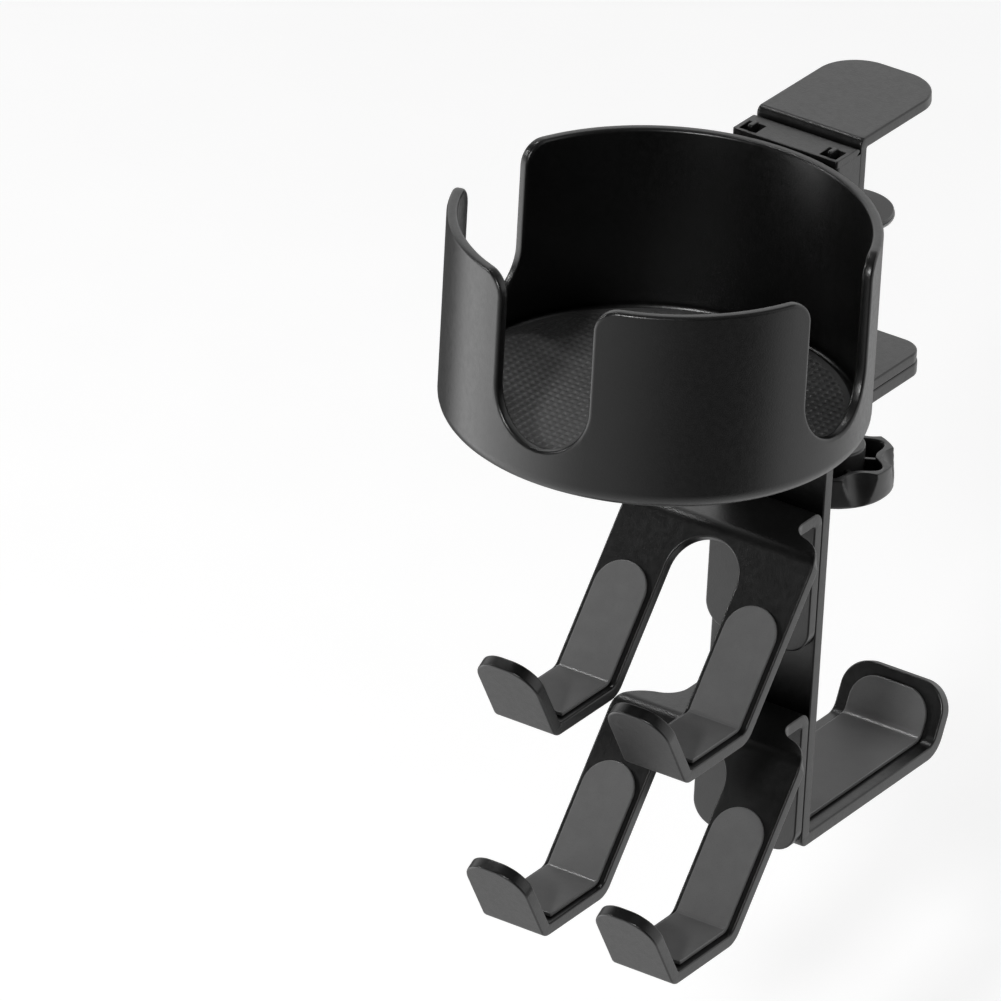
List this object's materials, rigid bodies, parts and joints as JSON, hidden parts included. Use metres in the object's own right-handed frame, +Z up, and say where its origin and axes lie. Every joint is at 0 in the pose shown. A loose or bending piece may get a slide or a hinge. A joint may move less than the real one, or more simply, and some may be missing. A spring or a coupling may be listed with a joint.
{
  "type": "desk clamp cup holder",
  "caption": "Clamp-on desk organiser in black sheet steel: slotted round cup holder, twin-arm cradles, a headphone hook and a screw clamp with a fluted knob.",
  "frame": {"origin": "where the clamp screw's axis meets the desk's top face, on the jaw pad's underside", "axes": "+Z up along the clamp screw, +Y in over the desk top, +X along the desk's front edge"},
  "size_m": [0.0944, 0.1622, 0.175],
  "materials": {
    "powder_coat": "satin, fine grain",
    "black_screw": "black oxide, semi-gloss",
    "black_plastic": "smooth satin",
    "dark_rubber": "matte",
    "grey_foot": "matte, light grey"
  },
  "bodies": {
    "frame": {"clamp_body": "powder_coat", "jaw_pad": "dark_rubber", "cup_bracket": "powder_coat", "cup_backing_plate": "powder_coat", "cup_shell": "powder_coat", "cup_mat": "dark_rubber", "hanger": "powder_coat", "headphone_pad": "dark_rubber", "upper_cradle": "powder_coat", "upper_cradle_pad_left": "dark_rubber", "upper_cradle_pad_right": "dark_rubber", "lower_cradle": "powder_coat", "lower_cradle_pad_left": "dark_rubber", "lower_cradle_pad_right": "dark_rubber", "thread_bush": "black_screw", "cup_stud_upper": "black_screw", "cup_stud_lower": "black_screw", "bracket_screw_upper": "black_screw", "bracket_screw_lower": "black_screw", "hanger_screw_left": "black_screw", "hanger_screw_right": "black_screw", "upper_cradle_screw_lower": "black_screw", "upper_cradle_screw_upper": "black_screw", "lower_cradle_screw_lower": "black_screw", "lower_cradle_screw_upper": "black_screw", "cup_nut_upper": "black_screw", "cup_nut_lower": "black_screw", "bracket_nut_upper": "black_screw", "bracket_nut_lower": "black_screw"},
    "foot": {"pressure_foot": "grey_foot", "foot_pad": "dark_rubber"},
    "spindle": {"clamp_screw": "black_screw", "knob": "black_plastic"}
  },
  "joints": [
    {"name": "screw_travel", "type": "slide", "parent": "frame", "child": "foot", "axis": [0, 0, 1], "range_m": [-0.03, 0.015]},
    {"name": "screw_turn", "type": "hinge", "parent": "foot", "child": "spindle", "pos_m": [0, 0, -0.06], "axis": [0, 0, 1], "range_deg": [-10800, 5400]}
  ],
  "couplings": [
    {"joint": "screw_travel", "follows": "screw_turn", "m_per_rad": 0.00015915}
  ]
}
